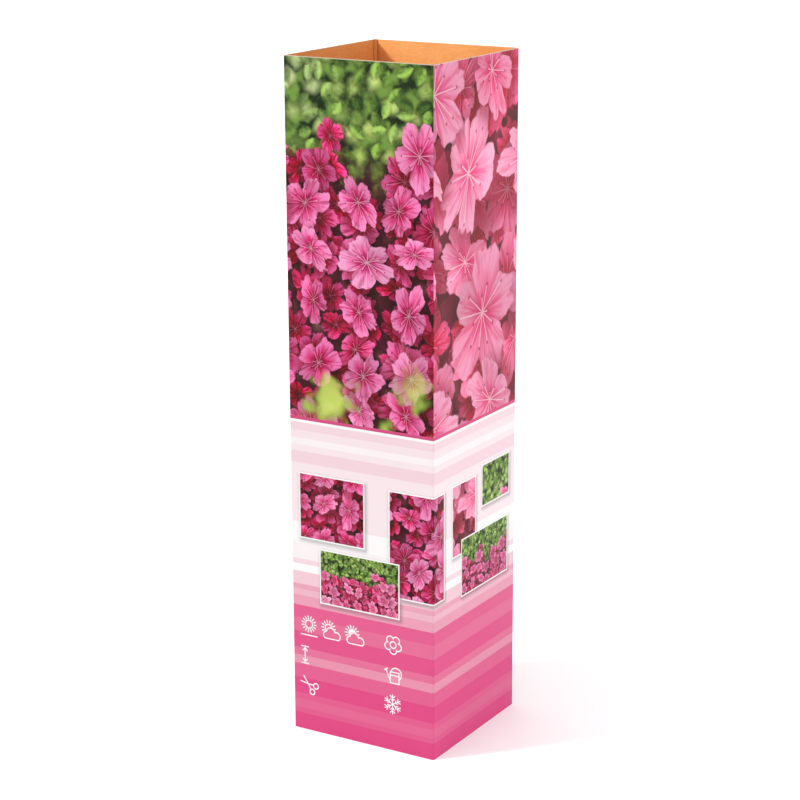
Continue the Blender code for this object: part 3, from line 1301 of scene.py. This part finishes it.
def bake_spot(kind, across, up, depth):
    """Where a corner goes on the OFBake map. Across and up are shares of the sheet, from 0 to 1."""
    start, width = BAKE_STRIPS[kind]
    along_edge = across if kind in ("foot", "rim") else up
    over_strip = across if kind in ("face", "back") else depth
    return start + width * over_strip, BAKE_MARGIN + (1 - 2 * BAKE_MARGIN) * along_edge


def kind_of_face(index, face):
    if index < shown_faces:
        return "face"
    if index < 2 * shown_faces:
        return "back"
    if abs(face.normal.z) > 0.5:
        return "rim" if face.normal.z > 0 else "foot"
    return "right" if face.center.x > 0 else "left"


print("strips of the bake map:", list(BAKE_STRIPS))

# %% Lay out the maps
mesh = sheet.data
while mesh.uv_layers:
    mesh.uv_layers.remove(mesh.uv_layers[0])
for title in ("Print", "OFBake"):
    mesh.uv_layers.new(name=title)
for index, face in enumerate(mesh.polygons):
    kind = kind_of_face(index, face)
    for corner in face.loop_indices:
        point = mesh.vertices[mesh.loops[corner].vertex_index].co
        along = unrolled(point)
        mesh.uv_layers["Print"].data[corner].uv = (along, point.z if kind == "face" else BARE)
        spot = bake_spot(kind, along / (2 * HALF) + 0.5, point.z / HEIGHT, depth_of(point))
        mesh.uv_layers["OFBake"].data[corner].uv = spot
mesh.uv_layers["OFBake"].active_render = False
mesh.uv_layers["Print"].active_render = True
print("maps:", [layer.name for layer in mesh.uv_layers])

# %% [markdown]
# ## The wavy medium
#
# Between the outer and inner papers runs the medium, glued to each at its crests. One wave starts as a
# strip four faces wide whose second and fourth folds are pulled apart; an Array repeats it along the wall
# and a Subdivision Surface rounds the zigzag into a smooth wave. Rounding pulls the crests in to two thirds
# of their height, so the folds are first pulled out by half as much again.

# %% Helpers for fluting
LINING_THICKNESS = 0.20 * MM
MEDIUM_THICKNESS = 0.15 * MM
WAVE_HEIGHT = 0.43 * MM
WAVES = 36
MEDIUM_DEPTH = (PAPER_THICKNESS + BOARD - LINING_THICKNESS) / 2


def make_fluting(name, waves, foot, height, y, first_x):
    """A wavy sheet, without its thickness yet, that starts at first_x."""
    piece = start_plane(name, FLUTE_PITCH, height, y, foot)
    bpy.ops.object.mode_set(mode="EDIT")
    bpy.ops.mesh.select_mode(type="EDGE")
    bpy.ops.mesh.select_all(action="DESELECT")
    mesh = bmesh.from_edit_mesh(piece.data)
    for edge in mesh.edges:
        first, second = edge.verts
        edge.select_set(abs(first.co.z - second.co.z) < 1e-6)
    bmesh.update_edit_mesh(piece.data)
    bpy.ops.mesh.subdivide(number_cuts=3)
    for fold, move in ((-0.25, WAVE_HEIGHT * 1.5), (0.25, -WAVE_HEIGHT * 1.5)):
        pick(piece, lambda point: abs(point.x - fold * FLUTE_PITCH) < 1e-6)
        bpy.ops.transform.translate(value=(0.0, move, 0.0))
    bpy.ops.mesh.select_all(action="SELECT")
    bpy.ops.transform.translate(value=(first_x + FLUTE_PITCH / 2, 0.0, 0.0))
    bpy.ops.object.mode_set(mode="OBJECT")
    row = piece.modifiers.new("Row", "ARRAY")
    row.count = waves
    row.use_relative_offset = False
    row.use_constant_offset = True
    row.constant_offset_displace = (FLUTE_PITCH, 0.0, 0.0)
    row.use_merge_vertices = True
    row.merge_threshold = 1e-6
    bpy.ops.object.modifier_apply(modifier=row.name)
    return piece


def round_off(piece):
    rounding = piece.modifiers.new("Rounding", "SUBSURF")
    rounding.levels = 2
    rounding.render_levels = 2
    bpy.ops.object.modifier_apply(modifier=rounding.name)


print("the medium lies", round(MEDIUM_DEPTH / MM, 3), "mm deep in the board")

# %% The front's fluting
flute_end = WAVES * FLUTE_PITCH / 2
fluting = make_fluting("front_fluting", WAVES, 0.0, HEIGHT, MEDIUM_DEPTH - HALF, -flute_end)
bpy.ops.object.mode_set(mode="EDIT")
for side in (-1, 1):
    pick(fluting, lambda point: abs(point.x - side * flute_end) < 1e-6)
    reach = side * (HALF - MEDIUM_DEPTH - flute_end)
    bpy.ops.mesh.extrude_region_move(TRANSFORM_OT_translate={"value": (reach, 0.0, 0.0)})
bpy.ops.object.mode_set(mode="OBJECT")
round_off(fluting)
thicken(fluting, MEDIUM_THICKNESS)
smooth(fluting, 60)
print("fluting:", len(fluting.data.polygons), "faces")

# %% [markdown]
# ## The inner lining
#
# Where the board is folded inwards its lining has nowhere to go: the creasing rule presses two grooves and
# the paper between them buckles into a bead up each inner corner. The lining starts as a flat sheet, and
# both its upright edges are drawn out in short steps, down into the groove and up onto the bead.

# %% The front's lining
INNER = HALF - BOARD
BEAD_STEPS = ((0.5, -0.25), (0.3, 0.0), (0.3, 0.35), (0.3, 0.5), (0.4, 0.35))
BEAD_WIDTH = sum(step[0] for step in BEAD_STEPS) * MM
BEAD_START = HALF - BOARD + LINING_THICKNESS - sum(step[1] for step in BEAD_STEPS) * MM - BEAD_WIDTH

lining = start_plane("front_lining", 2 * BEAD_START, HEIGHT, -INNER - LINING_THICKNESS)
bpy.ops.object.mode_set(mode="EDIT")
for side in (-1, 1):
    pick(lining, lambda point: abs(point.x - side * BEAD_START) < 1e-6)
    for along, inwards in BEAD_STEPS:
        move = (side * along * MM, inwards * MM, 0.0)
        bpy.ops.mesh.extrude_region_move(TRANSFORM_OT_translate={"value": move})
bpy.ops.mesh.select_all(action="SELECT")
bpy.ops.mesh.normals_make_consistent(inside=False)
bpy.ops.object.mode_set(mode="OBJECT")
thicken(lining, LINING_THICKNESS)
smooth(lining, 50)
print("lining:", len(lining.data.polygons), "faces,", round(BEAD_WIDTH / MM, 2), "mm of it for each bead")

# %% [markdown]
# ## Four walls from one
#
# The three sheets of the front wall are finished, so we give them their materials, copy them and turn the
# copies to the right, back and left. Each copy's Print map is moved along to its own part of the design.
# The front's own sheets get their labels last of all, because a copy takes on whatever labels its original
# has by then.

# %% Copy and turn the walls
WALLS = (("right", 1, HALF), ("back", 2, -HALF), ("left", 3, HALF), ("front", 0, -HALF))
LAYERS = (
    (sheet, "print_sheet", (signs_paper, snapshots_paper, garden_paper)),
    (fluting, "fluting", (medium_kraft,)),
    (lining, "lining", (inner_kraft,)),
)


def copy_turned(piece, name, quarter_turns):
    bpy.ops.object.select_all(action="DESELECT")
    copy = piece.copy()
    copy.data = piece.data.copy()
    copy.name = name
    bpy.context.collection.objects.link(copy)
    copy.rotation_euler.z = quarter_turns * math.radians(90)
    copy.select_set(True)
    bpy.context.view_layer.objects.active = copy
    bpy.ops.object.transform_apply(location=False, rotation=True, scale=False)
    return copy


for layer, _, materials in LAYERS:
    layer.data.materials.clear()
    for material in materials:
        layer.data.materials.append(material)
for face in sheet.data.polygons:
    face.material_index = sum(face.center.z > height * MM for height in (SIGNS_TOP, SNAPSHOTS_TOP))
for wall, turns, shift in WALLS:
    for layer, title, _ in LAYERS:
        piece = layer if wall == "front" else copy_turned(layer, wall + "_" + title, turns)
        if title == "print_sheet":
            for corner in piece.data.uv_layers["Print"].data:
                corner.uv.x += shift
        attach(piece, "root")
        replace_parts(piece, wall + "_wall")
print("wall pieces:", sorted(piece.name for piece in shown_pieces() if "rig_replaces" in piece))

# %% [markdown]
# ## The glue flap
#
# The left wall has one panel too many: a narrow flap, glued behind the front wall to close the tube. It is
# the same board, so it gets the same three sheets. Its ends are cut on a slant, so that they don't catch
# when the flap is folded in; a Bisect cuts each sheet along those slants before it gets its thickness.

# %% Build the glue flap
FLAP_TAPER = 5.0 * MM
FLAP_WAVES = 4
flap_low, flap_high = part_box("glue_flap")
flap_width = flap_high.x - flap_low.x
flap_tall = flap_high.z - flap_low.z


def trim_ends(piece):
    """Cuts a sheet of the glue flap to its slanted ends."""
    bpy.ops.object.mode_set(mode="EDIT")
    for end, up in ((flap_low.z, -1), (flap_high.z, 1)):
        slant = Vector((FLAP_TAPER, 0.0, up * flap_width)).normalized()
        bpy.ops.mesh.select_all(action="SELECT")
        bpy.ops.mesh.bisect(plane_co=(flap_low.x, 0.0, end), plane_no=slant, clear_outer=True)
    bpy.ops.object.mode_set(mode="OBJECT")


def flap_sheet(name, y, thickness, material):
    piece = start_plane(name, flap_width, flap_tall, y, flap_low.z)
    piece.location.x = (flap_low.x + flap_high.x) / 2
    bpy.ops.object.transform_apply(location=True, rotation=False, scale=False)
    trim_ends(piece)
    thicken(piece, thickness)
    piece.data.materials.append(material)
    return piece


outer = flap_sheet("glue_flap_liner", flap_low.y, PAPER_THICKNESS, medium_kraft)
inner = flap_sheet("glue_flap_lining", flap_high.y - LINING_THICKNESS, LINING_THICKNESS, inner_kraft)
wave_start = flap_high.x - FLAP_WAVES * FLUTE_PITCH
medium_y = flap_low.y + MEDIUM_DEPTH
middle = make_fluting("glue_flap_fluting", FLAP_WAVES, flap_low.z, flap_tall, medium_y, wave_start)
trim_ends(middle)
round_off(middle)
thicken(middle, MEDIUM_THICKNESS)
smooth(middle, 60)
middle.data.materials.append(medium_kraft)
for piece in (outer, inner, middle):
    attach(piece, "root")
    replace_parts(piece, "glue_flap")
print("glue flap:", round(flap_width / MM, 1), "mm wide,", len(middle.data.polygons), "faces in its fluting")

# %% [markdown]
# ## The base flaps
#
# The solids of the four base flaps already have the right shape, down to the tongue that locks them, so
# they stay and only get a finish. One finish has to show three things: the lining on the upper side, the
# white paper underneath, and at the cut edges the layers between them, with the wave of the medium and
# painted shade in the hollows beside it. Which one a point sees follows from the way its face looks and
# from how high it is within its own flap.

# %% The folded board's materials
# Painted shade: the dark of the empty flutes seen at a cut edge.
HOLLOW_PAINTED_SHADE = ink(48, 28, 16)
PAPER_EDGE = ink(216, 212, 204)
PAPER_UNDERSIDE = ink(222, 218, 210)
SOFT_EDGE = 0.03


def make_edge():
    """The layers that a cut edge shows, from how far across the flutes and how deep in the board it is."""
    inputs = {"Across": 0.0, "Depth": 0.0}
    wires, given, put_out = new_group("Cut Edge", inputs, {"Paper": "float", "Hollow": "float"})
    depth = given["Depth"] / MM
    wave = wires.math("SINE", given["Across"] * (2 * math.pi / FLUTE_PITCH)) * (WAVE_HEIGHT / MM)
    away = abs(depth - MEDIUM_DEPTH / MM - wave)
    paper_top = PAPER_THICKNESS / MM
    lining_foot = (BOARD - LINING_THICKNESS) / MM
    paper = wires.step(depth, paper_top + SOFT_EDGE, paper_top - SOFT_EDGE)
    lining = wires.step(depth, lining_foot - SOFT_EDGE, lining_foot + SOFT_EDGE)
    liners = wires.math("MAXIMUM", paper, lining)
    medium = wires.step(away, 0.14, 0.08)
    # Where neither liner nor medium is, the flutes are empty, and that gap gets painted shade.
    put_out(Paper=paper, Hollow=1.0 - wires.math("MAXIMUM", liners, medium))
    return wires.tree


cut_edge = make_edge()
print("cut edge group:", len(cut_edge.nodes), "nodes")

# %% The four flaps' finishes


def make_folded(name, foot, flutes_along_y, ramp=None):
    """A finish for one base flap, whose board starts at the foot height or climbs a ramp along y."""
    material, wires, surface = new_material(name)
    place = wires.read("TexCoord", "Object")
    x, y, z = wires.split(place)
    across = x if flutes_along_y else y
    rise = foot
    if ramp:
        start, end, top = ramp
        sockets = ("Value", "From Min", "From Max", "To Min", "To Max")
        rise = wires.apply(wires.add("MapRange"), sockets, (y, start, end, foot, top))
    edge = wires.use(cut_edge, Across=across, Depth=z - rise)
    _, _, up = wires.split(wires.read("NewGeometry", "Normal"))
    on_top = wires.step(up, 0.4, 0.6)
    below = wires.step(up, -0.4, -0.6)
    light, dark = LINER_COLOURS
    sheet = wires.use(kraft, Place=place, Light_Colour=light, Dark_Colour=dark)
    edge_colour = wires.mix(edge["Paper"], sheet["Colour"], PAPER_EDGE)
    # The flutes' empty hollows at the edge get painted shade.
    edge_colour = wires.mix(edge["Hollow"], edge_colour, HOLLOW_PAINTED_SHADE)
    colour = wires.mix(on_top, edge_colour, sheet["Colour"])
    colour = wires.mix(below, colour, PAPER_UNDERSIDE)
    wires.feed(surface.inputs["Base Color"], colour)
    wires.feed(surface.inputs["Roughness"], wires.spread(sheet["Height"], 0.62, 0.90))
    relief = wires.use(board_relief, Along=across, Place=place)
    wires.emboss(surface, sheet["Height"] + relief["Washboard"] * 0.4, 0.06 * MM, 0.5)
    return material


LAYER = 1.8 * MM
TONGUE_RAMP = (-17.0 * MM, 0.0, 3 * LAYER)
FOLDED = (
    ("front", 0.0, True, TONGUE_RAMP),
    ("left", LAYER, False, None),
    ("right", LAYER, False, None),
    ("back", 2 * LAYER, True, None),
)
for side, foot, flutes_along_y, ramp in FOLDED:
    flap = bpy.data.objects["base_flap_" + side]
    finish = make_folded("Folded board, " + side, foot, flutes_along_y, ramp)
    for slot in flap.material_slots:
        slot.material = finish
    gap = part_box(flap.name)[0].z - foot
    print(flap.name, "starts", round(gap / MM, 3), "mm from where its finish does")

# %% [markdown]
# ## Floor, light and camera
#
# The set is as plain as can be: a white floor and a white sky that is bright near the horizon and dimmer
# above. A wide soft sun overhead lights the floor and the opening. The key light stands behind the viewer's
# left shoulder, so it reaches over the front wall and down the back one's inside, where the left wall
# throws its slanting shadow. A wide soft light low on the right fills the side wall without looking into
# the opening, because it stands lower than the rim. The plain Standard view keeps printed pinks as pink
# as they are on paper.

# %% The floor and the sky
bpy.ops.object.select_all(action="DESELECT")
bpy.ops.mesh.primitive_plane_add(size=80.0, location=(0.0, 0.0, 0.0))
floor = bpy.context.object
floor.name = "floor"
floor_finish, wires, surface = new_material("Studio floor")
mottle = wires.noise(wires.read("TexCoord", "Object"), 3.0, 3.0)
wires.feed(surface.inputs["Base Color"], wires.mix(mottle, ink(247, 247, 247), ink(250, 250, 250)))
wires.feed(surface.inputs["Roughness"], wires.spread(mottle, 0.85, 0.95))
surface.inputs["Specular IOR Level"].default_value = 0.2
floor.data.materials.append(floor_finish)
floor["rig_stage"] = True

world = bpy.data.worlds.new("Studio sky")
world.use_nodes = True
sky = Wires(world.node_tree)
background = world.node_tree.nodes["Background"]
_, _, rise = sky.split(sky.read("TexCoord", "Generated"))
sky.feed(background.inputs["Color"], (1.0, 1.0, 1.0, 1.0))
sky.feed(background.inputs["Strength"], sky.spread(sky.step(rise, 0.24, 0.50), 1.0, 0.35))
bpy.context.scene.world = world
bpy.context.scene.view_settings.view_transform = "Standard"
print("floor:", round(floor.dimensions.x), "m wide")

# %% The lamps


def add_lamp(name, kind, energy, direction, place=(0.0, 0.0, 0.0)):
    """A lamp that shines in a direction."""
    light = bpy.data.lights.new(name, kind)
    light.energy = energy
    lamp = bpy.data.objects.new(name, light)
    lamp.location = place
    lamp.rotation_euler = Vector(direction).to_track_quat("-Z", "Y").to_euler()
    bpy.context.collection.objects.link(lamp)
    return light


add_lamp("overhead", "SUN", 2.0, (0.0, 0.0, -1.0)).angle = math.radians(50)
add_lamp("key", "SUN", 2.4, (1.0, 1.0, -0.95)).angle = math.radians(9)
fill = add_lamp("fill", "AREA", 16.2, (-1.0, 0.0, 0.0), (1.7, 0.1, 0.25))
fill.shape = "RECTANGLE"
fill.size = 1.6
fill.size_y = 0.44
print("lamps:", [light.name for light in bpy.data.lights])

# %% The camera
CAMERA_PLACE = Vector((0.78928, -1.31341, 0.66626))
CAMERA_TURNS = ((31.11, "Z"), (90 - 15.32, "X"), (-0.23, "Z"))
camera_data = bpy.data.cameras.new("camera")
camera_data.lens = 98.46
camera_data.sensor_width = 36.0
camera_data.clip_end = 200.0
camera = bpy.data.objects.new("camera", camera_data)
bpy.context.collection.objects.link(camera)
aim = Matrix.Identity(3)
for degrees, axis in CAMERA_TURNS:
    aim = aim @ Matrix.Rotation(math.radians(degrees), 3, axis)
camera.matrix_world = Matrix.Translation(CAMERA_PLACE) @ aim.to_4x4()
bpy.context.scene.camera = camera
print("camera stands", round(CAMERA_PLACE.length, 2), "m from the carton's foot")

# %% [markdown]
# ## Sizes of the solids and the dressed carton
#
# The last cell writes down the box of the solids and the box of the dressed carton, to be compared.

# %% Sizes of the solids and the dressed carton
shown_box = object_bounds()
for title, box in (("solids", CAD_BOX), ("dressed", shown_box)):
    print(title, [[round(value / MM, 3) for value in corner] for corner in box])
